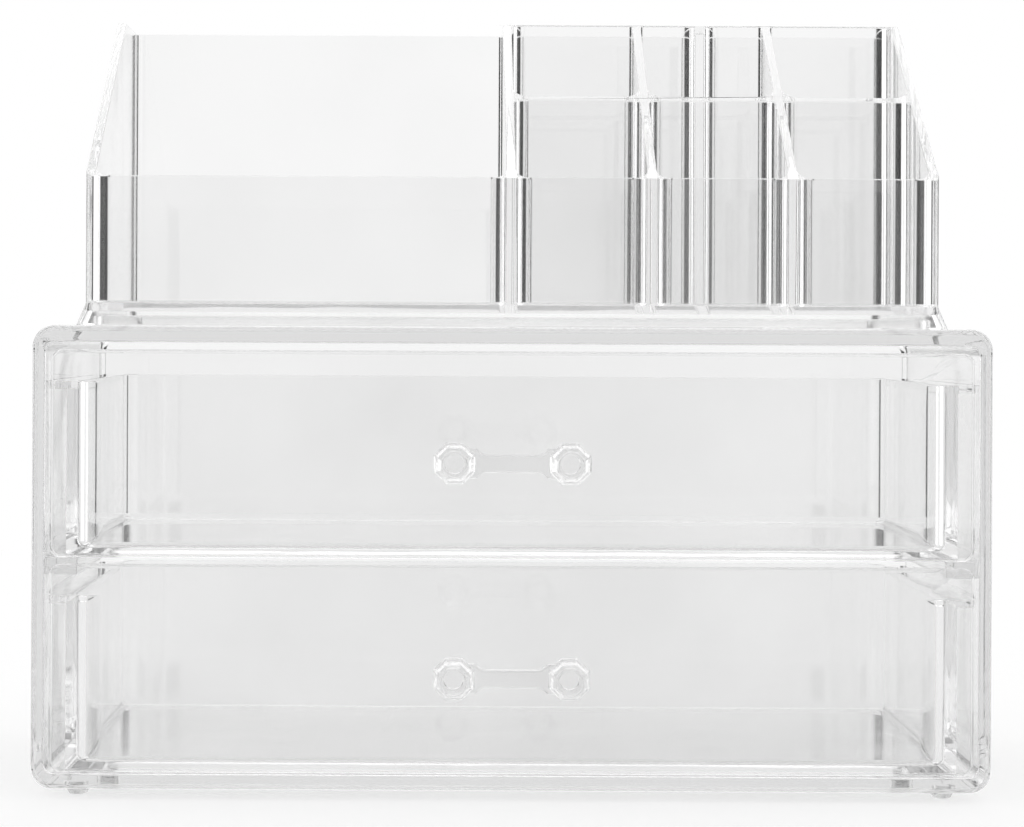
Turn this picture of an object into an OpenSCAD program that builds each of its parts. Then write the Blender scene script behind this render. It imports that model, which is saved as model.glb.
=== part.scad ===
// Clear cosmetic organizer: a two-drawer case with a lift-off compartment tray on top.
// Millimetres. +X right, +Y to the back, +Z up. The origin is on the table, at the
// middle of the rectangle that the whole organizer covers, pulls included.

/* [Case] */
// Overall width of the drawer case
case_w = 240; // [200:1:300]
// Depth of the drawer case, from its front rim to its back
case_d = 140; // [120:1:190]
// Thickness of the two side walls
case_side_t = 3.4; // [2.4:0.1:4.4]
// Thickness of the top wall
case_top_t = 4.2; // [3:0.1:5]
// Thickness of the bottom wall
case_floor_t = 4; // [3:0.1:5]
// Thickness of the back wall
case_back_t = 3; // [2:0.1:5]
// Radius of the long outer corners
case_r = 5.5; // [4.8:0.1:9]
// Radius of the long inner corners
case_inner_r = 2.6; // [1:0.1:3]

/* [Drawers] */
// Height of one drawer front
front_h = 52; // [44:1:66]
// Thickness of a drawer front
front_t = 2.8; // [2:0.1:4]
// Radius of a drawer front's corners
front_r = 3; // [1:0.1:5]
// Thickness of the drawer's side and back walls
drawer_wall_t = 2.2; // [1.6:0.1:3]
// Thickness of the drawer's floor
drawer_floor_t = 2.2; // [1.6:0.1:3]
// How far the drawer's rim lies below the top of its front
rim_drop = 8; // [5:0.5:14]
// Width of the side lip along the drawer's rim
lip_w = 4.2; // [2:0.1:5]
// Thickness of the side lip
lip_t = 2; // [1.4:0.1:3]
// Inside corner radius of the drawer
drawer_r = 7; // [1.5:0.1:9]
// Play between a drawer and the side of the case
side_play = 1; // [0.6:0.1:1.6]
// Play between a drawer and what it slides on
slide_play = 0.3; // [0.2:0.05:0.5]
// Play between the drawer's back and the back of the case
back_play = 2; // [1:0.1:6]
// Gap between the two drawer fronts
front_gap = 1.6; // [1:0.1:3]
// Gap between the upper drawer front and the top wall
top_gap = 1.8; // [1:0.1:3]

/* [Runners] */
// Thickness of the runner strip under the upper drawer
runner_t = 4.2; // [1.6:0.1:6]
// How far a runner reaches under the upper drawer
runner_bite = 2.6; // [1.5:0.1:5]
// Distance from the drawer front to the runner's front end
runner_setback = 1.5; // [1:0.1:6]

/* [Pulls] */
// Distance between the two knobs of a pull
knob_pitch = 28.8; // [22:0.1:50]
// Width of a knob across its flats, at the drawer front
knob_w = 10.4; // [8:0.1:14]
// Width of a knob across its flats, at its nose
nose_w = 7.2; // [6.8:0.1:12]
// Height of the straight foot of a knob
knob_foot = 3; // [2.2:0.1:4.5]
// How far the knobs stand out from the drawer front
pull_out = 12; // [8:0.5:18]
// Diameter of the round dish in the nose of a knob
dish_d = 5.6; // [4:0.1:6]
// Depth of the dish
dish_depth = 1; // [0.4:0.1:2]
// Height of the bar between the knobs
bar_h = 4.4; // [3:0.1:6]
// Thickness of the bar
bar_t = 2.6; // [1.6:0.1:4]
// Radius of the curve that spreads the bar into its knobs
bar_flare = 3; // [1.5:0.1:4.5]
// Diameter of the pegs that hold a pull in the drawer front
peg_d = 5; // [3:0.1:5.4]
// How far a peg stands through the drawer front
peg_proud = 0.8; // [0.4:0.1:2]
// Clearance round a peg
peg_play = 0.08; // [0.05:0.01:0.2]
// How far the pulls sit below the middle of the drawer front
pull_drop = 2; // [0:0.5:5]

/* [Tray] */
// Distance of the tray's side walls from the sides of the case
tray_inset_x = 11.7; // [10:0.1:30]
// Distance of the tray's front and back walls from the front and back of the case
tray_inset_y = 11; // [8:0.5:24]
// Height of the tray's front wall above the case
tray_front_h = 38; // [28:1:60]
// Height of the tray's back wall above the case
tray_back_h = 84; // [64:1:110]
// Thickness of the tray's walls and dividers
tray_t = 2.4; // [1.8:0.1:3]
// Thickness of the tray's floor
tray_floor_t = 2.4; // [1.8:0.1:3]
// Outer corner radius of the tray
tray_r = 5; // [3:0.1:8]
// Corner radius inside the compartments
cell_r = 3.2; // [1:0.1:4]
// Height of the skirt that spreads out below the tray's floor
skirt_h = 5.6; // [4.8:0.1:9]
// How far the skirt spreads at its foot
skirt_out = 2.4; // [1.5:0.1:3]
// Depth of the level back row of compartments, walls included
back_row_d = 36; // [26:1:46]
// Distance of the middle divider to the left of the tray's centre
split_left = 0.3; // [0:0.1:30]
// Number of lipstick columns on the right
lip_cols = 3; // [2:1:4]
// Number of lipstick rows on the right
lip_rows = 2; // [1:1:3]
// Number of compartments in the back row
back_cols = 2; // [1:1:3]
// Height of the low kerb on the case that the tray drops over
kerb_h = 2.2; // [1.4:0.1:3]
// Width of the kerb
kerb_w = 2; // [1.2:0.1:4]
// Play between the kerb and the tray's skirt
kerb_play = 0.6; // [0.3:0.1:1.5]

/* [Feet] */
// Diameter of a foot
foot_d = 6; // [4:0.1:8]
// Diameter of a foot where it meets the table
foot_tip_d = 4.4; // [3:0.1:6]
// How far a foot stands below the case
foot_h = 2.5; // [1.5:0.1:6]
// Height of the tapered tip of a foot
foot_tip_h = 1.4; // [0.6:0.1:1.5]
// Depth of the socket that a foot is pressed into
foot_socket = 1.2; // [0.6:0.1:2]
// Clearance round a foot in its socket
foot_play = 0.05; // [0.02:0.01:0.2]
// Distance of a foot's centre from the side of the case
foot_inset_x = 10.8; // [8:0.1:30]
// Distance of a foot's centre from the front or back of the case
foot_inset_y = 12; // [8:0.5:30]

/* [Hidden] */

// Cuts run this far past the faces that they open, and joined shapes overlap by it.
past = 1;
round_fn = 64;
knob_sides = 8;

// Places along Y
front_y = (pull_out - case_d) / 2;
back_y = front_y + case_d;
middle_y = (front_y + back_y) / 2;
bay_back_y = back_y - case_back_t;

// Places along Z
case_z = foot_h;
bay_z = case_z + case_floor_t;
lower_z = bay_z + slide_play;
upper_z = lower_z + front_h + front_gap;
bay_top_z = upper_z + front_h + top_gap;
case_top_z = bay_top_z + case_top_t;
case_h = case_top_z - case_z;
bay_w = case_w - 2 * case_side_t;
bay_h = bay_top_z - bay_z;

// Drawer sizes that follow from the case
front_w = bay_w - 2 * side_play;
box_w = front_w - 2 * lip_w;
box_y = front_y + front_t;
box_back_y = bay_back_y - back_play;
box_d = box_back_y - front_y;
box_h = front_h - rim_drop;

// Runner strips, on the side walls of the case
runner_top_z = upper_z - slide_play;
runner_w = bay_w / 2 - box_w / 2 + runner_bite;
runner_y = box_y + runner_setback;

// Pulls, measured from a drawer front's foot
pull_z = front_h / 2 - pull_drop;

// How far the bar runs on inside a knob
bar_root = knob_w / 4;

// Tray places: the tray stands in the middle of the case's top
tray_w = case_w - 2 * tray_inset_x;
tray_d = case_d - 2 * tray_inset_y;
tray_front_y = middle_y - tray_d / 2;
tray_back_y = tray_front_y + tray_d;
level_y = tray_back_y - back_row_d;
split_x = -split_left;
right_x = tray_w / 2 - tray_t;
skirt_w = tray_w + 2 * skirt_out;
skirt_d = tray_d + 2 * skirt_out;

module rounded_rect(w, h, r) {
    square([w - 2 * r, h], center = true);
    square([w, h - 2 * r], center = true);
    for (x = [-1, 1], y = [-1, 1])
        translate([x * (w / 2 - r), y * (h / 2 - r)])
            circle(r = r, $fn = round_fn);
}

// A rounded slab that lies along Y: w by h as seen from the front, with its foot at z
module front_slab(w, h, r, y, d, z) {
    translate([0, y + d, z + h / 2])
        rotate([90, 0, 0])
            linear_extrude(height = d)
                rounded_rect(w, h, r);
}

// A rounded block that stands along Z, between y0 and y1
module standing_block(w, y0, y1, r, z, h) {
    translate([0, (y0 + y1) / 2, z])
        linear_extrude(height = h)
            rounded_rect(w, y1 - y0, r);
}

// ---- Case ----

// A kerb on the top wall, just inside the foot of the tray's skirt
module kerb() {
    kerb_out_w = skirt_w - 2 * tray_t - 2 * kerb_play - 2 * kerb_draw_in();
    kerb_out_d = skirt_d - 2 * tray_t - 2 * kerb_play - 2 * kerb_draw_in();
    translate([0, middle_y, case_top_z - past])
        linear_extrude(height = kerb_h + past)
            difference() {
                rounded_rect(kerb_out_w, kerb_out_d, tray_r);
                rounded_rect(kerb_out_w - 2 * kerb_w, kerb_out_d - 2 * kerb_w, tray_r - kerb_w);
            }
}

// How far the skirt's inner face has closed in at the height of the kerb
function kerb_draw_in() = skirt_out * kerb_h / skirt_h;

module foot_places() {
    for (x = [-1, 1], y = [front_y + foot_inset_y, back_y - foot_inset_y])
        translate([x * (case_w / 2 - foot_inset_x), y, 0])
            children();
}

module case_shell() {
    color([0.93, 0.95, 0.96, 0.4]) {
        difference() {
            front_slab(case_w, case_h, case_r, front_y, case_d, case_z);
            front_slab(bay_w, bay_h, case_inner_r, front_y - past,
                       bay_back_y - front_y + past, bay_z);
            foot_places()
                translate([0, 0, case_z - past])
                    cylinder(d = foot_d + 2 * foot_play, h = foot_socket + past, $fn = round_fn);
        }
        kerb();
    }
}

// side is -1 for the left strip and 1 for the right one
module runner(side) {
    inner_x = bay_w / 2 - runner_w;
    color([0.88, 0.91, 0.93, 0.5])
        translate([side > 0 ? inner_x : -bay_w / 2, runner_y, runner_top_z - runner_t])
            cube([runner_w, bay_back_y - runner_y, runner_t]);
}

module left_runner() {
    runner(-1);
}

module right_runner() {
    runner(1);
}

// x and y are -1 or 1: left or right, and front or back
module foot(x, y) {
    color([0.85, 0.88, 0.9, 0.6])
        translate([x * (case_w / 2 - foot_inset_x),
                   y < 0 ? front_y + foot_inset_y : back_y - foot_inset_y, 0])
            rotate_extrude($fn = round_fn)
                polygon([
                    [0, 0],
                    [foot_tip_d / 2, 0],
                    [foot_d / 2, foot_tip_h],
                    [foot_d / 2, foot_h + foot_socket],
                    [0, foot_h + foot_socket]
                ]);
}

module front_left_foot() {
    foot(-1, -1);
}

module front_right_foot() {
    foot(1, -1);
}

module back_left_foot() {
    foot(-1, 1);
}

module back_right_foot() {
    foot(1, 1);
}

// ---- Drawers ----

module peg_holes(z) {
    for (x = [-1, 1])
        translate([x * knob_pitch / 2, front_y - past, z + pull_z])
            rotate([-90, 0, 0])
                cylinder(d = peg_d + 2 * peg_play, h = front_t + 2 * past, $fn = round_fn);
}

// z is the height of the drawer's underside
module drawer(z) {
    color([0.93, 0.95, 0.96, 0.4])
        difference() {
            union() {
                front_slab(front_w, front_h, front_r, front_y, front_t, z);
                standing_block(box_w, front_y, box_back_y, drawer_r + drawer_wall_t, z, box_h);
                translate([-box_w / 2, front_y, z])
                    cube([box_w, box_d / 2, box_h]);
                translate([-box_w / 2 - lip_w, box_y, z + box_h - lip_t])
                    cube([box_w + 2 * lip_w, box_d - front_t - drawer_r - drawer_wall_t, lip_t]);
            }
            standing_block(box_w - 2 * drawer_wall_t, box_y, box_back_y - drawer_wall_t,
                           drawer_r, z + drawer_floor_t, front_h);
            peg_holes(z);
        }
}

module upper_drawer() {
    drawer(upper_z);
}

module lower_drawer() {
    drawer(lower_z);
}

// One eight-sided knob with a dished nose; it stands along +Z from its foot
module knob() {
    flats = cos(180 / knob_sides);
    difference() {
        union() {
            cylinder(d = knob_w / flats, h = knob_foot, $fn = knob_sides);
            translate([0, 0, knob_foot])
                cylinder(d1 = knob_w / flats, d2 = nose_w / flats, h = pull_out - knob_foot,
                         $fn = knob_sides);
        }
        translate([0, 0, pull_out - dish_depth])
            cylinder(d = dish_d, h = dish_depth + past, $fn = round_fn);
    }
}

// The bar's outline: a straight strip that spreads into the knobs by quarter rounds
module bar_outline() {
    reach = knob_pitch / 2 - knob_w / 2 + bar_root;
    square([2 * reach, bar_h], center = true);
    for (x = [-1, 1])
        translate([x * (knob_pitch / 2 - knob_w / 2), 0])
            difference() {
                translate([x > 0 ? -bar_flare : -bar_root, -bar_h / 2 - bar_flare / 2])
                    square([bar_flare + bar_root, bar_h + bar_flare]);
                for (y = [-1, 1])
                    translate([-x * bar_flare, y * (bar_h / 2 + bar_flare)])
                        circle(r = bar_flare, $fn = round_fn);
            }
}

// z is the height of the underside of the pull's drawer
module pull(z) {
    color([0.9, 0.93, 0.95, 0.55])
        translate([0, front_y, z + pull_z])
            rotate([90, 0, 0]) {
                for (x = [-1, 1])
                    translate([x * knob_pitch / 2, 0, 0]) {
                        rotate([0, 0, 180 / knob_sides])
                            knob();
                        translate([0, 0, -front_t - peg_proud])
                            cylinder(d = peg_d, h = front_t + peg_proud + past, $fn = round_fn);
                    }
                linear_extrude(height = bar_t)
                    bar_outline();
            }
}

module upper_pull() {
    pull(upper_z);
}

module lower_pull() {
    pull(lower_z);
}

// ---- Tray ----

// A compartment's plan between two corners, with rounded corners
module cell(x0, x1, y0, y1) {
    translate([(x0 + x1) / 2, (y0 + y1) / 2])
        rounded_rect(x1 - x0, y1 - y0, cell_r);
}

// A row of equal compartments between x0 and x1, with dividers of the wall's thickness
module cell_row(x0, x1, y0, y1, count) {
    pitch = (x1 - x0 + tray_t) / count;
    for (i = [0 : count - 1])
        cell(x0 + i * pitch, x0 + (i + 1) * pitch - tray_t, y0, y1);
}

module all_cells() {
    cells_x = split_x + tray_t / 2;
    cells_y = tray_front_y + tray_t;
    row_pitch = (level_y - cells_y + tray_t) / lip_rows;
    cell(-tray_w / 2 + tray_t, split_x - tray_t / 2, cells_y, tray_back_y - tray_t);
    for (i = [0 : lip_rows - 1])
        cell_row(cells_x, right_x, cells_y + i * row_pitch,
                 cells_y + (i + 1) * row_pitch - tray_t, lip_cols);
    cell_row(cells_x, right_x, level_y + tray_t, tray_back_y - tray_t, back_cols);
}

// What lies under the tray's rim: low in front, sloping up, and level over the back row
module under_rim() {
    wide = skirt_w + 2 * past;
    translate([-wide / 2, 0, case_top_z])
        rotate([90, 0, 90])
            linear_extrude(height = wide)
                polygon([
                    [tray_front_y - skirt_out - past, 0],
                    [tray_front_y - skirt_out - past, tray_front_h],
                    [tray_front_y + tray_t, tray_front_h],
                    [level_y, tray_back_h],
                    [tray_back_y + skirt_out + past, tray_back_h],
                    [tray_back_y + skirt_out + past, 0]
                ]);
}

// A flared block's outline: width w at its top, wider by out on each side at its foot
module flare_profile(w, out, h) {
    polygon([[-w / 2 - out, 0], [w / 2 + out, 0], [w / 2, h], [-w / 2, h]]);
}

// A block with rounded corners, w by d at its top, that spreads by out at its foot
module flared_block(w, d, r, out, h) {
    rotate([90, 0, 0])
        linear_extrude(height = d - 2 * r, center = true)
            flare_profile(w, out, h);
    rotate([90, 0, 90])
        linear_extrude(height = w - 2 * r, center = true)
            flare_profile(d, out, h);
    for (x = [-1, 1], y = [-1, 1])
        translate([x * (w / 2 - r), y * (d / 2 - r), 0])
            cylinder(r1 = r + out, r2 = r, h = h, $fn = round_fn);
}

// A flared block that closes in from the foot of the skirt up to the height h. Its faces lie
// inward of the skirt's outside by inset.
module skirt_block(inset, h) {
    out = skirt_out * h / skirt_h;
    top_inset = inset + out - skirt_out;
    translate([0, middle_y, case_top_z])
        flared_block(tray_w - 2 * top_inset, tray_d - 2 * top_inset, tray_r - top_inset, out, h);
}

// The skirt runs on inside the walls for half the floor's thickness, and the hollow under the
// floor keeps the wall's thickness from the skirt's outside.
module top_tray() {
    floor_half = tray_floor_t / 2;
    color([0.93, 0.95, 0.96, 0.4])
        intersection() {
            difference() {
                union() {
                    skirt_block(0, skirt_h + floor_half);
                    standing_block(tray_w, tray_front_y, tray_back_y, tray_r,
                                   case_top_z + skirt_h - floor_half, tray_back_h);
                }
                skirt_block(tray_t, skirt_h - tray_floor_t);
                translate([0, 0, case_top_z + skirt_h])
                    linear_extrude(height = tray_back_h)
                        all_cells();
            }
            under_rim();
        }
}

case_shell();
left_runner();
right_runner();
upper_drawer();
lower_drawer();
upper_pull();
lower_pull();
top_tray();
front_left_foot();
front_right_foot();
back_left_foot();
back_right_foot();
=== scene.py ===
import math

import bmesh
import bpy
from bpy.props import FloatProperty, FloatVectorProperty, IntProperty, PointerProperty
from mathutils import Matrix, Vector


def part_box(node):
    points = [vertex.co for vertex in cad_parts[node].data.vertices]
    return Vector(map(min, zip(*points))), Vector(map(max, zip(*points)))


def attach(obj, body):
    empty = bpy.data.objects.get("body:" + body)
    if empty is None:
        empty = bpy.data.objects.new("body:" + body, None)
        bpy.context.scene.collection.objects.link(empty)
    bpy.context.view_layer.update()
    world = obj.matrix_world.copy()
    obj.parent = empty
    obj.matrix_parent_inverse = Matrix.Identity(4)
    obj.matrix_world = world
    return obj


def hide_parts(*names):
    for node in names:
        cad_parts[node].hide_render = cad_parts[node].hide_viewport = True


bl_info = {
    "name": "Clear makeup organizer",
    "version": (1, 0, 0),
    "blender": (4, 5, 0),
    "location": "3D View > Sidebar > Organizer",
    "description": "Dresses a two-drawer makeup organizer with its lift-off tray in clear plastic",
    "category": "Add Mesh",
}

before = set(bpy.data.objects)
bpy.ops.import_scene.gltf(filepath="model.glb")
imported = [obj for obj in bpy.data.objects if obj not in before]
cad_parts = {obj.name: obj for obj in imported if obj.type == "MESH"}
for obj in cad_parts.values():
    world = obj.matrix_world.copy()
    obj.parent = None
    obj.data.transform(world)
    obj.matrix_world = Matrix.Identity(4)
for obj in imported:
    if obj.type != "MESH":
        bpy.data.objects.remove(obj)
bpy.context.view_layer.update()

FEET = ("front_left_foot", "front_right_foot", "back_left_foot", "back_right_foot")
RUNNERS = ("left_runner", "right_runner")
DRAWERS = ("upper", "lower")

X, Y, Z = range(3)
# Points closer than this lie at the same height, and ten times closer they are one point.
NEAR = 0.00001
# Cutting shapes run this far past what they open.
PAST = 0.002
# Pieces that touch in the frame stay this far apart, so that each keeps its own face.
HAIR = 0.00003
# Faces that meet at a sharper angle than this keep a crisp edge between them.
CRISP = math.radians(32)
# How far an edge's or a face's direction reaches along an axis, if the edge runs along it, the
# face looks along it, or the face only slopes towards it.
ALONG = 0.999
FACING = 0.9
SLOPING = 0.3
# The tray's rim lies at least this far above its floor.
RIM_LEAST = 0.01
# Two rounds that would meet in one point keep this share of their radius.
NOT_QUITE = 0.98
# The edge round a dish's floor is rounded by this share of the dish's depth.
DISH_ROUND = 0.8
# The values of the noise at which scuffs and clouds start, and at which they are full.
SCUFFED = (0.55, 0.8)
CLOUDED = (0.35, 0.65)
SCUFFS_PER_METRE = 60.0
# Light crosses many faces of clear plastic before it gets out again.
BOUNCES = 96
OPEN_BOUNCES = 32
# The studio's level edges, and those of its ceiling lamps, fade over this much of the sine of
# their height angle, and the top of a gap over this share of its own.
LEVEL_FADE = 0.005
LAMP_FADE = 0.15
TOP_FADE = 0.3


# ---- Sizes and colours ----


def length(name, description, default):
    """A size in metres."""
    return FloatProperty(name=name, description=description, default=default, min=0,
                         subtype="DISTANCE", unit="LENGTH", precision=4)


def share(name, description, default):
    """A number from 0 to 1."""
    return FloatProperty(name=name, description=description, default=default, min=0, max=1,
                         subtype="FACTOR")


def amount(name, description, default):
    """A plain number that isn't negative."""
    return FloatProperty(name=name, description=description, default=default, min=0)


def count(name, description, default, least=1):
    """A whole number."""
    return IntProperty(name=name, description=description, default=default, min=least)


def angle(name, description, degrees):
    """An angle, written in degrees."""
    return FloatProperty(name=name, description=description, default=math.radians(degrees),
                         subtype="ANGLE")


def colour(name, description, grey):
    """A colour that starts as a grey."""
    return FloatVectorProperty(name=name, description=description, subtype="COLOR", size=3,
                               min=0, max=1, default=(grey, grey, grey))


class CaseSizes(bpy.types.PropertyGroup):
    """The drawer case, its runners and its feet"""

    side_t: length("Side walls", "Thickness of the two side walls", 0.0034)
    top_t: length("Top wall", "Thickness of the top wall", 0.0042)
    floor_t: length("Bottom wall", "Thickness of the bottom wall", 0.004)
    back_t: length("Back wall", "Thickness of the back wall", 0.003)
    outer_r: length("Outer corners", "Radius of the long outer corners", 0.0055)
    inner_r: length("Inner corners", "Radius of the long inner corners", 0.0026)
    rim_round: length("Rim", "Rounding of the front rim's outer edge", 0.0016)
    rim_break: length("Rim inside", "Rounding of the front rim's inner edge", 0.0005)
    kerb_w: length("Kerb width", "Width of the kerb that the tray drops over", 0.002)
    kerb_h: length("Kerb height", "Height of the kerb that the tray drops over", 0.0022)
    kerb_r: length("Kerb corners", "Radius of the kerb's corners", 0.005)
    kerb_inset: length("Kerb inset", "How far the kerb lies inside the foot of the tray's skirt",
                       0.0039429)
    foot_play: length("Foot play", "Clearance round a foot in its socket", 0.00005)
    foot_socket: length("Foot socket", "Depth of the socket that a foot is pressed into", 0.0012)
    foot_tip_h: length("Foot tip", "Height of the tapered tip of a foot", 0.0014)
    foot_tip_d: length("Foot tip width", "Diameter of a foot where it meets the table", 0.0044)


class DrawerSizes(bpy.types.PropertyGroup):
    """The two drawers"""

    front_t: length("Front", "Thickness of a drawer front", 0.0028)
    front_r: length("Front corners", "Radius of a drawer front's corners", 0.003)
    front_round: length("Front edge", "Rounding of the edge round a drawer front", 0.0011)
    wall_t: length("Walls", "Thickness of the side and back walls", 0.0022)
    floor_t: length("Floor", "Thickness of the floor", 0.0022)
    rim_drop: length("Rim drop", "How far the rim lies below the top of the front", 0.008)
    lip_w: length("Lip width", "Width of the side lip along the rim", 0.0042)
    lip_t: length("Lip thickness", "Thickness of the side lip", 0.002)
    inner_r: length("Inside corners", "Inside radius of the upright corners", 0.007)
    floor_r: length("Floor corners", "Inside radius along the floor", 0.0018)
    rim_round: length("Rim", "Rounding of the rim's edges", 0.0004)
    peg_play: length("Peg play", "Clearance round a pull's peg", 0.00008)
    gate_d: length("Gate mark", "Diameter of the mark that the mould's inlet leaves", 0.0018)
    gate_h: length("Gate mark height", "How far that mark stands below the floor", 0.00015)


class PullSizes(bpy.types.PropertyGroup):
    """The two-knob pulls"""

    pitch: length("Knob distance", "Distance between the two knobs", 0.0288)
    knob_w: length("Knob width", "Width of a knob across its flats at its foot", 0.0104)
    nose_w: length("Nose width", "Width of a knob across its flats at its nose", 0.0068)
    foot_h: length("Knob foot", "Height of the straight foot of a knob", 0.003)
    dish_d: length("Dish width", "Diameter of the round dish in the nose", 0.0064)
    dish_depth: length("Dish depth", "Depth of the dish", 0.0003)
    bar_h: length("Bar height", "Height of the bar between the knobs", 0.0044)
    bar_t: length("Bar thickness", "Thickness of the bar", 0.0026)
    bar_flare: length("Bar flare", "Radius of the curve that spreads the bar at its knobs", 0.003)
    peg_d: length("Peg", "Diameter of the pegs in the drawer front", 0.005)
    facet_round: length("Facet edges", "Rounding of the edges between a knob's facets", 0.00025)
    sides: count("Sides", "Number of facets round a knob", 8, least=3)


class TraySizes(bpy.types.PropertyGroup):
    """The compartment tray"""

    wall_t: length("Walls", "Thickness of the walls and dividers", 0.0024)
    floor_t: length("Floor", "Thickness of the floor", 0.0024)
    front_h: length("Front height", "Height of the front wall above the case", 0.038)
    outer_r: length("Outer corners", "Radius of the outer upright corners", 0.005)
    cell_r: length("Front corners", "Radius of the upright corners at a room's front", 0.0042)
    cell_back_r: length("Back corners", "Radius of the upright corners at a room's back", 0.0009)
    floor_r: length("Floor corners", "Inside radius along the floor", 0.0008)
    rim_round: length("Rim", "Rounding of the rim's edges", 0.0004)
    skirt_h: length("Skirt height", "Height of the skirt that spreads out below the floor", 0.0056)
    skirt_out: length("Skirt spread", "How far the skirt spreads at its foot", 0.0024)
    back_row_d: length("Back row", "Depth of the level back row, walls included", 0.036)
    split_left: length("Split", "Distance of the middle divider to the left of the centre", 0.0003)
    lip_columns: count("Columns", "Lipstick compartments in a row", 3)
    lip_rows: count("Rows", "Rows of lipstick compartments", 2)
    back_columns: count("Back columns", "Compartments in the back row", 2)


class PlasticLook(bpy.types.PropertyGroup):
    """The clear plastic"""

    tint: colour("Tint", "Colour that the plastic lends to light where it is clearest", 0.94)
    cloud: colour("Cloud", "Colour that it lends to light where it is least clear", 0.915)
    cloud_size: length("Cloud size", "Distance between those faint clouds", 0.05)
    depth_tint: colour("Depth tint", "Colour that thick plastic takes on", 0.5)
    density: amount("Density", "How fast light fades inside the case, per metre", 3.6)
    drawer_density: amount("Drawer density", "How fast it fades inside the drawers", 1.2)
    tray_density: amount("Tray density", "How fast it fades inside the tray", 2.2)
    foot_density: amount("Foot density", "How fast it fades inside the feet", 60)
    ior: FloatProperty(name="Index of refraction", description="How strongly it bends light",
                       default=1.49, min=1, max=2)
    polish: share("Polish loss", "Roughness of the polished faces", 0.012)
    scuff: share("Scuffs", "Roughness added where the faces are scuffed", 0.05)
    ripple: length("Ripple", "Depth of the slow waves that moulding leaves in a wall", 0.00005)
    ripple_size: length("Ripple size", "Distance between those waves", 0.03)
    shadow: share("Shadow", "How much light each face takes from a lamp's shadow rays", 0.06)


class StageLook(bpy.types.PropertyGroup):
    """The floor, the light and the camera"""

    backdrop: colour("Backdrop", "Colour seen behind the organizer", 1)
    gap: share("Gaps", "Brightness of the dark gaps between the white boards", 0.02)
    gap_start: angle("Gap start", "Angle off the front or back where a gap starts", 11.5)
    gap_end: angle("Gap end", "Angle off the front or back where a gap ends", 38)
    gap_fade: angle("Gap fade", "How softly a gap starts and ends", 2)
    gap_top: angle("Gap top", "Height angle where a gap fades into the ceiling", 7)
    slit_start: angle("Slit start", "Angle off the front or back where a slit starts", 13.6)
    slit_end: angle("Slit end", "Angle off the front or back where a slit ends", 15.4)
    slit_low: angle("Slit foot", "Height angle where the slits below the gaps end", -3.8)
    lamp: amount("Lamps", "Brightness of the lamps", 1.8)
    lamp_start: angle("Lamp start", "Height angle where the ceiling lamps start", 25)
    side_start: angle("Side lamp start", "Angle off the front or back where they start", 54)
    side_end: angle("Side lamp end", "Angle off the front or back where side lamps end", 79)
    side_low: angle("Side lamp foot", "Height angle of the side lamps' lower end", -6)
    table: length("Table", "Radius of the round white table", 0.9)
    shade: share("Shade", "How much of the table's brightness a shadow can take", 0.4)
    lens: FloatProperty(name="Lens", description="Focal length in millimetres", default=117)
    camera: FloatVectorProperty(name="Camera", description="Where the camera stands",
                                subtype="TRANSLATION", unit="LENGTH", size=3,
                                default=(-0.0157, -0.894, 0.1164))
    roll: angle("Roll", "Roll of the camera", 0.3)
    shift: FloatVectorProperty(name="Shift", description="Shift of the lens, in picture widths",
                               size=2, default=(0.0605, -0.0767))


class OrganizerSettings(bpy.types.PropertyGroup):
    """All the sizes and colours of the organizer"""

    case: PointerProperty(type=CaseSizes)
    drawer: PointerProperty(type=DrawerSizes)
    pull: PointerProperty(type=PullSizes)
    tray: PointerProperty(type=TraySizes)
    plastic: PointerProperty(type=PlasticLook)
    stage: PointerProperty(type=StageLook)


# ---- Mesh tools ----


def block(bm, lo, hi):
    """Adds a box between two corners."""
    lo, hi = Vector(lo), Vector(hi)
    place = Matrix.Translation((lo + hi) / 2) @ Matrix.Diagonal((*(hi - lo), 1))
    bmesh.ops.create_cube(bm, size=1, matrix=place)


def rod(bm, place, width, height, tip_width=None, sides=48):
    """Adds an upright rod or cone that starts at place's origin and follows its Z axis."""
    tip_width = width if tip_width is None else tip_width
    bmesh.ops.create_cone(bm, cap_ends=True, segments=sides, radius1=width / 2,
                          radius2=tip_width / 2, depth=height,
                          matrix=place @ Matrix.Translation((0, 0, height / 2)))


def bevel(bm, edges, width, segments):
    """Rounds edges."""
    bmesh.ops.bevel(bm, geom=list(edges), offset=width, offset_type="OFFSET", affect="EDGES",
                    segments=segments, profile=0.5, material=-1, clamp_overlap=False)


def edges_along(bm, axis):
    """The straight edges that run along an axis."""
    return [e for e in bm.edges
            if abs((e.verts[0].co - e.verts[1].co).normalized()[axis]) > ALONG]


def edges_at(bm, axis, value):
    """The edges that lie where one coordinate has that value."""
    return [e for e in bm.edges if all(abs(v.co[axis] - value) < NEAR for v in e.verts)]


def rounded_block(lo, hi, axis, radius, segments=8):
    """A box whose four edges along an axis are rounded."""
    bm = bmesh.new()
    block(bm, lo, hi)
    bevel(bm, edges_along(bm, axis), radius, segments)
    return bm


def shown(bm):
    """A passing object that holds a bmesh, which is freed."""
    bmesh.ops.recalc_face_normals(bm, faces=bm.faces)
    mesh = bpy.data.meshes.new("tool")
    bm.to_mesh(mesh)
    bm.free()
    made = bpy.data.objects.new("tool", mesh)
    bpy.context.scene.collection.objects.link(made)
    return made


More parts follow.
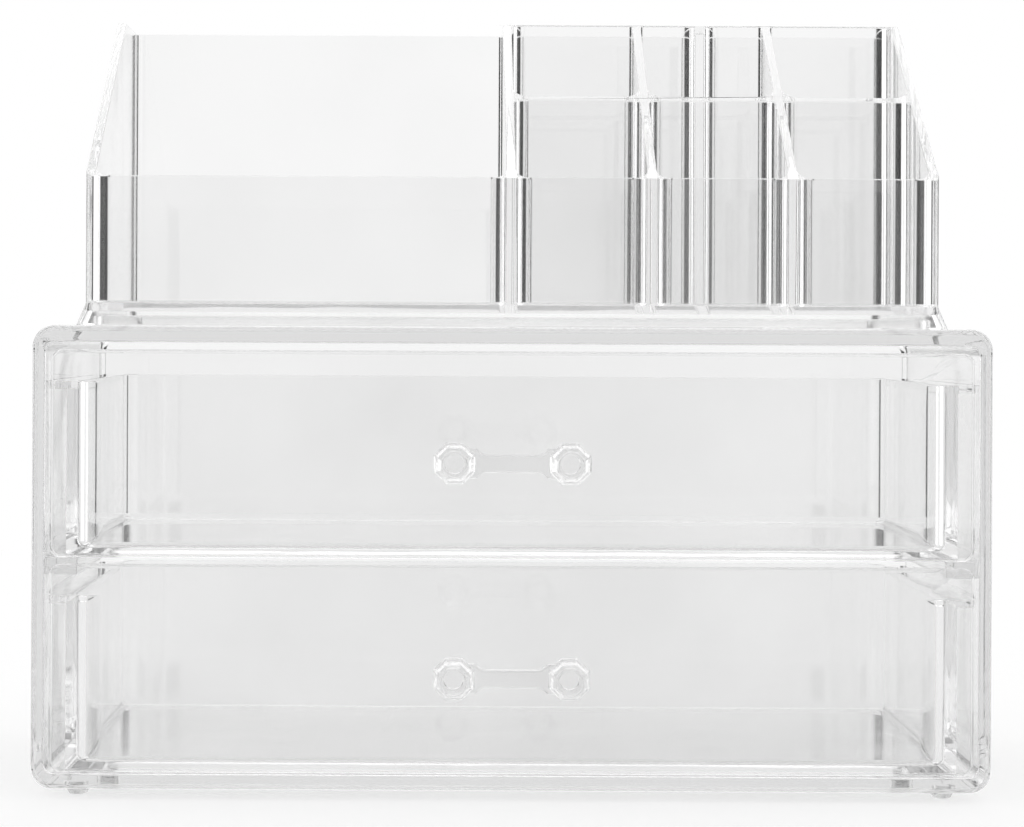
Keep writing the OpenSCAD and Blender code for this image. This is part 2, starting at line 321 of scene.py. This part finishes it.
def combined(bm, tools, operation):
    """A bmesh with others cut out of it or joined to it."""
    made = shown(bm)
    others = [shown(tool) for tool in tools]
    for other in others:
        step = made.modifiers.new("combine", "BOOLEAN")
        step.operation = operation
        step.solver = "EXACT"
        step.object = other
    depsgraph = bpy.context.evaluated_depsgraph_get()
    mesh = bpy.data.meshes.new_from_object(made.evaluated_get(depsgraph))
    result = bmesh.new()
    result.from_mesh(mesh)
    bpy.data.meshes.remove(mesh)
    for passing in [made, *others]:
        data = passing.data
        bpy.data.objects.remove(passing)
        bpy.data.meshes.remove(data)
    bmesh.ops.remove_doubles(result, verts=result.verts, dist=NEAR / 10)
    bmesh.ops.dissolve_degenerate(result, edges=result.edges, dist=NEAR / 10)
    return result


def cut(bm, *tools):
    """A bmesh with others cut out of it."""
    return combined(bm, tools, "DIFFERENCE")


def joined(bm, *tools):
    """A bmesh joined with others."""
    return combined(bm, tools, "UNION")


def drawn_out(bm, faces):
    """Extrudes faces and gives the points of the new ones, which still lie where they were."""
    made = bmesh.ops.extrude_face_region(bm, geom=faces)["geom"]
    bmesh.ops.delete(bm, geom=faces, context="FACES")
    return [v for v in made if isinstance(v, bmesh.types.BMVert)]


def creases(bm, keep):
    """The sharp edges that pass a test on the edge."""
    return [e for e in bm.edges if e.is_manifold and e.calc_face_angle() > CRISP and keep(e)]


def piece(name, bm, look, body, slot, *nodes, crisp_z=None):
    """The finished piece: smooth faces with crisp edges, also round it at one height, riding on
    its body for its CAD nodes."""
    bmesh.ops.remove_doubles(bm, verts=bm.verts, dist=NEAR / 10)
    bmesh.ops.recalc_face_normals(bm, faces=bm.faces)
    for face in bm.faces:
        face.smooth = True
    for edge in bm.edges:
        edge.smooth = not (edge.is_manifold and edge.calc_face_angle() > CRISP)
    for edge in edges_at(bm, Z, crisp_z) if crisp_z is not None else ():
        edge.smooth = False
    mesh = bpy.data.meshes.new(name)
    bm.to_mesh(mesh)
    bm.free()
    mesh.materials.append(look)
    made = bpy.data.objects.new(name, mesh)
    bpy.context.scene.collection.objects.link(made)
    weigh = made.modifiers.new("flat faces stay flat", "WEIGHTED_NORMAL")
    weigh.keep_sharp = True
    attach(made, body)
    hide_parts(*nodes)
    return made


# ---- Materials ----


class Value:
    """A shader socket that takes part in Python maths."""

    def __init__(self, graph, socket):
        self.graph = graph
        self.socket = socket

    def maths(self, operation, first, second):
        """One Math node between two sockets or numbers."""
        made = self.graph.node("ShaderNodeMath", {0: first, 1: second}, operation=operation)
        return Value(self.graph, made.outputs[0])

    def __add__(self, other):
        return self.maths("ADD", self, other)

    def __sub__(self, other):
        return self.maths("SUBTRACT", self, other)

    def __rsub__(self, other):
        return self.maths("SUBTRACT", other, self)

    def __mul__(self, other):
        return self.maths("MULTIPLY", self, other)

    def __abs__(self):
        return self.maths("ABSOLUTE", self, 0)

    __radd__ = __add__
    __rmul__ = __mul__


class Graph:
    """The node tree of a material or a world."""

    def __init__(self, owner):
        owner.use_nodes = True
        self.tree = owner.node_tree
        self.tree.nodes.clear()

    def node(self, kind, inputs=None, **settings):
        """Adds a node: its settings first, then its sockets."""
        made = self.tree.nodes.new(kind)
        for key, value in settings.items():
            setattr(made, key, value)
        for key, value in (inputs or {}).items():
            if isinstance(value, Value):
                self.tree.links.new(value.socket, made.inputs[key])
            else:
                made.inputs[key].default_value = value
        return made

    def value(self, kind, output, inputs=None, **settings):
        """Adds a node and gives one of its outputs."""
        return Value(self, self.node(kind, inputs, **settings).outputs[output])


def clear_plastic(name, look, density):
    """Polished clear plastic with moulding ripples and light scuffs."""
    material = bpy.data.materials.new(name)
    graph = Graph(material)
    place = graph.value("ShaderNodeTexCoord", "Object")
    ripple = graph.value("ShaderNodeTexNoise", "Fac",
                         {"Vector": place, "Scale": 1 / look.ripple_size, "Detail": 1.0})
    scuffs = graph.value("ShaderNodeTexNoise", "Fac",
                         {"Vector": place, "Scale": SCUFFS_PER_METRE, "Detail": 3.0,
                          "Roughness": 0.7})
    scuffed = graph.value("ShaderNodeMapRange", "Result",
                          {"Value": scuffs, "From Min": SCUFFED[0], "From Max": SCUFFED[1]})
    bump = graph.value("ShaderNodeBump", "Normal",
                       {"Height": ripple, "Distance": look.ripple, "Strength": 1.0})
    clouds = graph.value("ShaderNodeTexNoise", "Fac",
                         {"Vector": place, "Scale": 1 / look.cloud_size, "Detail": 2.0})
    clouded = graph.value("ShaderNodeMapRange", "Result",
                          {"Value": clouds, "From Min": CLOUDED[0], "From Max": CLOUDED[1]})
    tint = graph.value("ShaderNodeMix", 2, {0: clouded, 6: (*look.tint, 1), 7: (*look.cloud, 1)},
                       data_type="RGBA")
    plastic = graph.value("ShaderNodeBsdfPrincipled", "BSDF", {
        "Base Color": tint,
        "Roughness": scuffed * look.scuff + look.polish,
        "IOR": look.ior,
        "Transmission Weight": 1.0,
        "Normal": bump,
    })
    lit = 1 - look.shadow
    open_way = graph.value("ShaderNodeBsdfTransparent", "BSDF", {"Color": (lit, lit, lit, 1)})
    shadow_ray = graph.value("ShaderNodeLightPath", "Is Shadow Ray")
    both = graph.value("ShaderNodeMixShader", "Shader", {0: shadow_ray, 1: plastic, 2: open_way})
    depth = graph.value("ShaderNodeVolumeAbsorption", "Volume", {
        "Color": (*look.depth_tint, 1), "Density": density})
    graph.node("ShaderNodeOutputMaterial", {"Surface": both, "Volume": depth})
    return material


def plastic(part, settings):
    """The clear plastic of one kind of part, made once."""
    name, look = f"clear {part}", settings.plastic
    density = {"drawer": look.drawer_density, "tray": look.tray_density,
               "foot": look.foot_density}.get(part, look.density)
    return bpy.data.materials.get(name) or clear_plastic(name, look, density)


# ---- Case ----


def make_case(sizes, look):
    """The outer case with its bay, its kerb and the sockets of its feet."""
    lo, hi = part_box("case_shell")
    skirt_lo, skirt_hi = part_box("top_tray")
    # The frame's box takes in the kerb, and the top wall ends where the tray stands on it
    hi = Vector((hi.x, hi.y, skirt_lo.z))
    shell = rounded_block(lo, hi, Y, sizes.outer_r)
    for end in (lo.y, hi.y):
        bevel(shell, edges_at(shell, Y, end), sizes.rim_round, segments=4)
    bay_lo = Vector((lo.x + sizes.side_t, lo.y, lo.z + sizes.floor_t))
    bay_hi = Vector((hi.x - sizes.side_t, hi.y - sizes.back_t, hi.z - sizes.top_t))
    bay = rounded_block(bay_lo - Vector((0, PAST, 0)), bay_hi, Y, sizes.inner_r)
    bevel(bay, edges_at(bay, Y, bay_hi.y), sizes.inner_r / 2, segments=4)
    sockets = []
    for node in FEET:
        foot_lo, foot_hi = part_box(node)
        socket = bmesh.new()
        centre = (foot_lo + foot_hi) / 2
        start = Matrix.Translation((centre.x, centre.y, lo.z - PAST))
        rod(socket, start, foot_hi.x - foot_lo.x + 2 * sizes.foot_play,
            sizes.foot_socket + PAST)
        sockets.append(socket)
    shell = cut(shell, bay, *sockets)
    inner_rim = creases(shell, lambda e: all(abs(v.co.y - lo.y) < NEAR for v in e.verts))
    bevel(shell, inner_rim, sizes.rim_break, segments=2)

    inset = Vector((sizes.kerb_inset, sizes.kerb_inset, 0))
    kerb_lo = Vector((skirt_lo.x, skirt_lo.y, hi.z - PAST / 2)) + inset
    kerb_hi = Vector((skirt_hi.x, skirt_hi.y, hi.z + sizes.kerb_h)) - inset
    kerb = rounded_block(kerb_lo, kerb_hi, Z, sizes.kerb_r)
    bevel(kerb, edges_at(kerb, Z, kerb_hi.z), sizes.rim_break, segments=2)
    width = Vector((sizes.kerb_w, sizes.kerb_w, -PAST))
    hollow = rounded_block(kerb_lo + width, kerb_hi - width, Z, sizes.kerb_r - sizes.kerb_w)
    shell = joined(shell, cut(kerb, hollow))
    return piece("case", shell, look, "case", "case_plastic", "case_shell")


def make_runner(node, sizes, look):
    """A strip that carries one side of the upper drawer."""
    lo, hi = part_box(node)
    hair = Vector((HAIR, HAIR, 0))
    bm = bmesh.new()
    block(bm, lo + hair, hi - hair)
    bevel(bm, list(bm.edges), sizes.rim_break / 2, segments=2)
    return piece(f"{node}_strip", bm, look, "case", "runner_plastic", node)


def make_foot(node, sizes, look):
    """A small round foot with a tapered tip."""
    lo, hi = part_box(node)
    centre = (lo + hi) / 2
    width = hi.x - lo.x
    bm = bmesh.new()
    place = Matrix.Translation((centre.x, centre.y, lo.z))
    rod(bm, place, sizes.foot_tip_d, sizes.foot_tip_h, width)
    top = drawn_out(bm, [f for f in bm.faces if f.normal.z > FACING])
    bmesh.ops.translate(bm, verts=top, vec=(0, 0, hi.z - HAIR - lo.z - sizes.foot_tip_h))
    bevel(bm, edges_at(bm, Z, lo.z), sizes.rim_break / 2, segments=2)
    return piece(f"{node}_peg", bm, look, "case", "foot_plastic", node)


# ---- Drawers ----


def make_drawer(name, sizes, pull, look):
    """A drawer: its front slab, box and side lips in one moulding."""
    lo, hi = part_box(f"{name}_drawer")
    slab_hi = Vector((hi.x, lo.y + sizes.front_t, hi.z))
    slab = rounded_block(lo, slab_hi, Y, sizes.front_r)
    bevel(slab, edges_at(slab, Y, lo.y), sizes.front_round, segments=4)
    bevel(slab, edges_at(slab, Y, slab_hi.y), sizes.rim_round, segments=2)

    rim_z = hi.z - sizes.rim_drop
    lip = Vector((sizes.lip_w, 0, 0))
    box_lo = Vector((lo.x, lo.y + sizes.front_t / 2, lo.z)) + lip
    box_hi = Vector((hi.x, hi.y, rim_z)) - lip
    outer_r = sizes.inner_r + sizes.wall_t
    box = rounded_block(box_lo, box_hi, Z, outer_r)
    bevel(box, edges_at(box, Z, box_lo.z), sizes.floor_r / 2, segments=3)
    # The straight front part of the box, which the rounded one doesn't fill
    nose = bmesh.new()
    block(nose, box_lo, Vector((box_hi.x, box_lo.y + 2 * outer_r, rim_z)))
    bevel(nose, [e for e in edges_along(nose, Y) if e.verts[0].co.z < lo.z + NEAR],
          sizes.floor_r / 2, segments=3)
    lips = bmesh.new()
    block(lips, (lo.x, slab_hi.y - NEAR, rim_z - sizes.lip_t), (hi.x, hi.y - outer_r, rim_z))

    inner_lo = Vector((box_lo.x + sizes.wall_t, slab_hi.y, lo.z + sizes.floor_t))
    inner_hi = Vector((box_hi.x - sizes.wall_t, hi.y - sizes.wall_t, hi.z + PAST))
    room = rounded_block(inner_lo, inner_hi, Z, sizes.inner_r)
    bevel(room, edges_at(room, Z, inner_lo.z), sizes.floor_r, segments=5)
    pull_lo, pull_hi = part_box(f"{name}_pull")
    holes = []
    for side in (-1, 1):
        hole = bmesh.new()
        start = Vector((side * pull.pitch / 2, lo.y - PAST, (pull_lo.z + pull_hi.z) / 2))
        rod(hole, Matrix.Translation(start) @ Matrix.Rotation(-math.pi / 2, 4, "X"),
            pull.peg_d + 2 * sizes.peg_play, sizes.front_t + 2 * PAST)
        holes.append(hole)
    gate = bmesh.new()
    rod(gate, Matrix.Translation((0, slab_hi.y + sizes.gate_d, lo.z - sizes.gate_h)),
        sizes.gate_d, 2 * sizes.gate_h)
    body = cut(joined(slab, box, nose, lips, gate), room, *holes)
    rim = creases(body, lambda e: all(abs(v.co.z - rim_z) < NEAR for v in e.verts)
                  and min(v.co.y for v in e.verts) > slab_hi.y + NEAR)
    bevel(body, rim, sizes.rim_round, segments=2)
    return piece(f"{name}_drawer_box", body, look, f"{name}_drawer_body", "drawer_plastic",
                 f"{name}_drawer")


# ---- Pulls ----


def make_pull(name, sizes, look):
    """Two eight-sided knobs with dished noses, the bar between them and their pegs."""
    lo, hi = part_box(f"{name}_pull")
    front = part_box(f"{name}_drawer")[0].y
    out = front - lo.y
    flats = math.cos(math.pi / sizes.sides)
    centre_z = (lo.z + hi.z) / 2
    body = None
    for side in (-1, 1):
        start = Matrix.Translation((side * sizes.pitch / 2, front - HAIR, centre_z))
        outward = start @ Matrix.Rotation(math.pi / 2, 4, "X")
        turned = outward @ Matrix.Rotation(math.pi / sizes.sides, 4, "Z")
        knob = bmesh.new()
        rod(knob, turned, sizes.knob_w / flats, sizes.foot_h, sides=sizes.sides)
        nose = drawn_out(knob, [f for f in knob.faces if f.normal.y < -FACING])
        bmesh.ops.translate(knob, verts=nose, vec=(0, -(out - HAIR - sizes.foot_h), 0))
        taper = sizes.nose_w / sizes.knob_w
        bmesh.ops.scale(knob, verts=nose, vec=(taper, 1, taper), space=start.inverted())
        bmesh.ops.recalc_face_normals(knob, faces=knob.faces)
        bevel(knob, creases(knob, lambda e: True), sizes.facet_round, segments=2)
        dish = bmesh.new()
        floor_at = outward @ Matrix.Translation((0, 0, out - HAIR - sizes.dish_depth))
        rod(dish, floor_at, sizes.dish_d, sizes.dish_depth + PAST)
        floor_edge = edges_at(dish, Y, lo.y + sizes.dish_depth)
        bevel(dish, floor_edge, sizes.dish_depth * DISH_ROUND, segments=4)
        knob = cut(knob, dish)
        peg = bmesh.new()
        rod(peg, outward @ Matrix.Translation((0, 0, -(hi.y - front))), sizes.peg_d,
            hi.y - front + sizes.foot_h / 2)
        bevel(peg, edges_at(peg, Y, hi.y - HAIR), sizes.facet_round, segments=2)
        knob = joined(knob, peg)
        body = knob if body is None else joined(body, knob)

    # The bar ends inside the knobs; a rounded gap above and one below leave its flared ends
    reach = sizes.pitch / 2 - sizes.knob_w / 4
    half = sizes.bar_h / 2
    flare = sizes.bar_flare
    bar_lo = Vector((-reach, front - HAIR - sizes.bar_t, centre_z - half - flare / 2))
    bar_hi = Vector((reach, front - HAIR, centre_z + half + flare / 2))
    bar = bmesh.new()
    block(bar, bar_lo, bar_hi)
    gap_x = sizes.pitch / 2 - sizes.knob_w / 2
    for foot_z in (centre_z - half - 2 * flare, centre_z + half):
        gap = rounded_block((-gap_x, bar_lo.y - PAST, foot_z),
                            (gap_x, bar_hi.y + PAST, foot_z + 2 * flare), Y,
                            flare * NOT_QUITE, segments=12)
        bar = cut(bar, gap)
    bevel(bar, creases(bar, lambda e: all(v.co.y < bar_lo.y + NEAR for v in e.verts)),
          sizes.facet_round * 2, segments=3)
    body = joined(body, bar)
    return piece(f"{name}_pull_handle", body, look, f"{name}_drawer_body", "pull_plastic",
                 f"{name}_pull")


# ---- Tray ----


def make_tray(sizes, look):
    """The tray: walls, dividers, floor and spread skirt in one moulding."""
    lo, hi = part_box("top_tray")
    out = Vector((sizes.skirt_out, sizes.skirt_out, 0))
    wall_lo, wall_hi = lo + out, hi - out
    floor_z = lo.z + sizes.skirt_h
    front_z = lo.z + sizes.front_h
    slope_y = wall_lo.y + sizes.wall_t
    level_y = wall_hi.y - sizes.back_row_d

    # The walls are upright, and their lowest loop spreads out into the skirt
    body = rounded_block((wall_lo.x, wall_lo.y, floor_z), wall_hi, Z, sizes.outer_r)
    middle = (wall_lo + wall_hi) / 2
    skirt_verts = drawn_out(body, [f for f in body.faces if f.normal.z < -FACING])
    spread_out(skirt_verts, middle, wall_lo, wall_hi, sizes.outer_r, sizes.skirt_out)
    bmesh.ops.translate(body, verts=skirt_verts, vec=(0, 0, -sizes.skirt_h + HAIR))

    hollow_h = sizes.skirt_h - sizes.floor_t
    slope = sizes.skirt_out / sizes.skirt_h
    inset = Vector((sizes.wall_t, sizes.wall_t, 0))
    top_inset = inset - out + Vector((slope * hollow_h, slope * hollow_h, 0))
    hollow_lo = Vector((wall_lo.x, wall_lo.y, lo.z - PAST)) + top_inset
    hollow_hi = Vector((wall_hi.x, wall_hi.y, lo.z + hollow_h)) - top_inset
    hollow_r = sizes.outer_r - top_inset.x
    hollow = rounded_block(hollow_lo, hollow_hi, Z, hollow_r)
    foot_verts = [v for v in hollow.verts if v.co.z < lo.z]
    spread_out(foot_verts, middle, hollow_lo, hollow_hi, hollow_r, slope * (hollow_h + PAST))

    rooms = []

    def room(x0, x1, y0, y1):
        """The inside of one compartment."""
        made = bmesh.new()
        block(made, (x0, y0, floor_z), (x1, y1, hi.z + PAST))
        for y, radius in ((y0, sizes.cell_r), (y1, sizes.cell_back_r)):
            upright = [e for e in edges_along(made, Z) if abs(e.verts[0].co.y - y) < NEAR]
            bevel(made, upright, radius, segments=12)
        bevel(made, edges_at(made, Z, floor_z), sizes.floor_r, segments=4)
        rooms.append(made)

    def row(x0, x1, y0, y1, columns):
        """A row of compartments with dividers between them."""
        pitch = (x1 - x0 + sizes.wall_t) / columns
        for i in range(columns):
            room(x0 + i * pitch, x0 + (i + 1) * pitch - sizes.wall_t, y0, y1)

    split = -sizes.split_left
    right = wall_hi.x - sizes.wall_t
    room(wall_lo.x + sizes.wall_t, split - sizes.wall_t / 2, slope_y, wall_hi.y - sizes.wall_t)
    depth = (level_y - slope_y + sizes.wall_t) / sizes.lip_rows
    for i in range(sizes.lip_rows):
        row(split + sizes.wall_t / 2, right, slope_y + i * depth,
            slope_y + (i + 1) * depth - sizes.wall_t, sizes.lip_columns)
    row(split + sizes.wall_t / 2, right, level_y + sizes.wall_t, wall_hi.y - sizes.wall_t,
        sizes.back_columns)

    over = bmesh.new()
    profile = [(lo.y - PAST, front_z), (slope_y, front_z), (level_y, hi.z),
               (level_y, hi.z + PAST), (lo.y - PAST, hi.z + PAST)]
    corners = [over.verts.new((lo.x - PAST, y, z)) for y, z in profile]
    side = over.faces.new(corners)
    swept = bmesh.ops.extrude_face_region(over, geom=[side])["geom"]
    bmesh.ops.translate(over, verts=[v for v in swept if isinstance(v, bmesh.types.BMVert)],
                        vec=(hi.x - lo.x + 2 * PAST, 0, 0))
    body = cut(body, hollow, *rooms, over)
    bmesh.ops.recalc_face_normals(body, faces=body.faces)
    rim = creases(body, lambda e: sum(on_rim(f, floor_z) for f in e.link_faces) == 1)
    bevel(body, rim, sizes.rim_round, segments=2)
    # The rounded rim stays inside the frame's box
    for v in body.verts:
        v.co.z = min(v.co.z, hi.z)
    return piece("tray", body, look, "tray_body", "tray_plastic", "top_tray", crisp_z=floor_z)


def on_rim(face, floor_z):
    """True for the tray's upper faces, and not for its floor."""
    lowest = min(v.co.z for v in face.verts)
    return face.normal.z > SLOPING and lowest > floor_z + RIM_LEAST


def spread_out(verts, middle, lo, hi, radius, out):
    """Moves the points of a rounded outline outwards, each square to the outline."""
    half = (hi - lo) / 2
    for v in verts:
        core = Vector((max(-half.x + radius, min(half.x - radius, v.co.x - middle.x)),
                       max(-half.y + radius, min(half.y - radius, v.co.y - middle.y)), 0))
        away = Vector((v.co.x - middle.x, v.co.y - middle.y, 0)) - core
        v.co += away.normalized() * out


# ---- Stage ----


def ramp(graph, value, start, end):
    """0 before a start, 1 past an end and smooth between them."""
    return graph.value("ShaderNodeMapRange", "Result", {
        "Value": value, "From Min": start, "From Max": end}, interpolation_type="SMOOTHSTEP")


def band(graph, value, start, end, fade):
    """1 between a start and an end, and smooth round both."""
    return (ramp(graph, value, start - fade, start + fade)
            - ramp(graph, value, end - fade, end + fade))


def make_world(look):
    """A white backdrop and even light. What the plastic bends or mirrors sees a studio: white
    boards round the horizon with dark gaps and slits between them, lamps beside them and
    lamps in a white ceiling."""
    world = bpy.data.worlds.new("studio")
    bpy.context.scene.world = world
    graph = Graph(world)
    bent = graph.value("ShaderNodeLightPath", "Is Glossy Ray")
    direction = graph.node("ShaderNodeSeparateXYZ",
                           {0: graph.value("ShaderNodeTexCoord", "Generated")})
    x, y, height = (Value(graph, direction.outputs[i]) for i in range(3))
    side = x.maths("ARCTAN2", abs(x), abs(y))
    top, low = math.sin(look.gap_top), math.sin(look.slit_low)
    above = (ramp(graph, height, -LEVEL_FADE, LEVEL_FADE)
             - ramp(graph, height, (1 - TOP_FADE) * top, (1 + TOP_FADE) * top))
    wide = band(graph, side, look.gap_start, look.gap_end, look.gap_fade) * above
    slit = (band(graph, side, look.slit_start, look.slit_end, look.gap_fade / 4)
            * band(graph, height, low, 0, LEVEL_FADE))
    gap = wide + slit
    lamp_low, side_low = math.sin(look.lamp_start), math.sin(look.side_low)
    lamps = ramp(graph, height, lamp_low, lamp_low + LAMP_FADE)
    beside = (band(graph, side, look.side_start, look.side_end, look.gap_fade)
              * ramp(graph, height, side_low - LEVEL_FADE, side_low + LEVEL_FADE))
    lamps = lamps.maths("MAXIMUM", lamps, beside)
    room = graph.value("ShaderNodeBackground", "Background", {
        "Color": (*look.backdrop, 1),
        "Strength": 1 - gap * (1 - look.gap) + lamps * (look.lamp - 1)})
    plain = graph.value("ShaderNodeBackground", "Background", {"Color": (*look.backdrop, 1)})
    light = graph.value("ShaderNodeMixShader", "Shader", {0: bent, 1: plain, 2: room})
    graph.node("ShaderNodeOutputWorld", {"Surface": light})


def make_floor(look):
    """A round white table that keeps the shadow and runs over into the backdrop."""
    material = bpy.data.materials.new("table_white")
    graph = Graph(material)
    shade, lift = look.shade, 1 - look.shade
    white = graph.value("ShaderNodeBsdfDiffuse", "BSDF", {"Color": (shade, shade, shade, 1)})
    glow = graph.value("ShaderNodeEmission", "Emission", {
        "Color": (*look.backdrop, 1), "Strength": lift})
    lit = graph.value("ShaderNodeAddShader", "Shader", {0: white, 1: glow})
    graph.node("ShaderNodeOutputMaterial", {"Surface": lit})
    bm = bmesh.new()
    bmesh.ops.create_circle(bm, cap_ends=True, segments=128, radius=look.table)
    mesh = bpy.data.meshes.new("table")
    bm.to_mesh(mesh)
    bm.free()
    mesh.materials.append(material)
    table = bpy.data.objects.new("table", mesh)
    bpy.context.scene.collection.objects.link(table)


def make_camera(look):
    """A level camera whose lens is shifted, as in the photograph."""
    camera = bpy.data.cameras.new("camera")
    camera.lens = look.lens
    camera.sensor_width = 36
    camera.shift_x, camera.shift_y = look.shift
    made = bpy.data.objects.new("camera", camera)
    made.location = look.camera
    level = Matrix.Rotation(math.pi / 2, 4, "X")
    made.rotation_euler = (level @ Matrix.Rotation(look.roll, 4, "Z")).to_euler()
    bpy.context.scene.collection.objects.link(made)
    bpy.context.scene.camera = made


# ---- Operators ----


class OrganizerCase(bpy.types.Operator):
    """Makes the case with its runners and feet"""

    bl_idname = "organizer.case"
    bl_label = "Case"

    def execute(self, context):
        settings = context.scene.organizer
        make_case(settings.case, plastic("case", settings))
        for node in RUNNERS:
            make_runner(node, settings.case, plastic("runner", settings))
        for node in FEET:
            make_foot(node, settings.case, plastic("foot", settings))
        return {"FINISHED"}


class OrganizerDrawers(bpy.types.Operator):
    """Makes the two drawers"""

    bl_idname = "organizer.drawers"
    bl_label = "Drawers"

    def execute(self, context):
        settings = context.scene.organizer
        for name in DRAWERS:
            make_drawer(name, settings.drawer, settings.pull, plastic("drawer", settings))
        return {"FINISHED"}


class OrganizerPulls(bpy.types.Operator):
    """Makes the two pulls"""

    bl_idname = "organizer.pulls"
    bl_label = "Pulls"

    def execute(self, context):
        settings = context.scene.organizer
        for name in DRAWERS:
            make_pull(name, settings.pull, plastic("pull", settings))
        return {"FINISHED"}


class OrganizerTray(bpy.types.Operator):
    """Makes the compartment tray"""

    bl_idname = "organizer.tray"
    bl_label = "Tray"

    def execute(self, context):
        settings = context.scene.organizer
        make_tray(settings.tray, plastic("tray", settings))
        return {"FINISHED"}


class OrganizerStage(bpy.types.Operator):
    """Makes the floor, the light and the camera"""

    bl_idname = "organizer.stage"
    bl_label = "Stage"

    def execute(self, context):
        look = context.scene.organizer.stage
        context.scene.view_settings.view_transform = "Standard"
        cycles = context.scene.cycles
        cycles.max_bounces = cycles.transmission_bounces = cycles.glossy_bounces = BOUNCES
        cycles.transparent_max_bounces = OPEN_BOUNCES
        make_world(look)
        make_floor(look)
        make_camera(look)
        return {"FINISHED"}


class OrganizerPanel(bpy.types.Panel):
    """Lists the organizer's pieces"""

    bl_idname = "ORGANIZER_PT_pieces"
    bl_label = "Makeup organizer"
    bl_space_type = "VIEW_3D"
    bl_region_type = "UI"
    bl_category = "Organizer"

    def draw(self, context):
        for operator in OPERATORS:
            self.layout.operator(operator.bl_idname)


GROUPS = (CaseSizes, DrawerSizes, PullSizes, TraySizes, PlasticLook, StageLook, OrganizerSettings)
OPERATORS = (OrganizerStage, OrganizerCase, OrganizerDrawers, OrganizerPulls, OrganizerTray)


def register():
    """Makes the classes and the settings known to Blender."""
    for part in (*GROUPS, *OPERATORS, OrganizerPanel):
        bpy.utils.register_class(part)
    bpy.types.Scene.organizer = PointerProperty(type=OrganizerSettings)


def unregister():
    """Takes them out again."""
    del bpy.types.Scene.organizer
    for part in reversed((*GROUPS, *OPERATORS, OrganizerPanel)):
        bpy.utils.unregister_class(part)


def main():
    """Makes the stage and every piece."""
    register()
    bpy.ops.organizer.stage()
    bpy.ops.organizer.case()
    bpy.ops.organizer.drawers()
    bpy.ops.organizer.pulls()
    bpy.ops.organizer.tray()


if __name__ == "__main__":
    main()
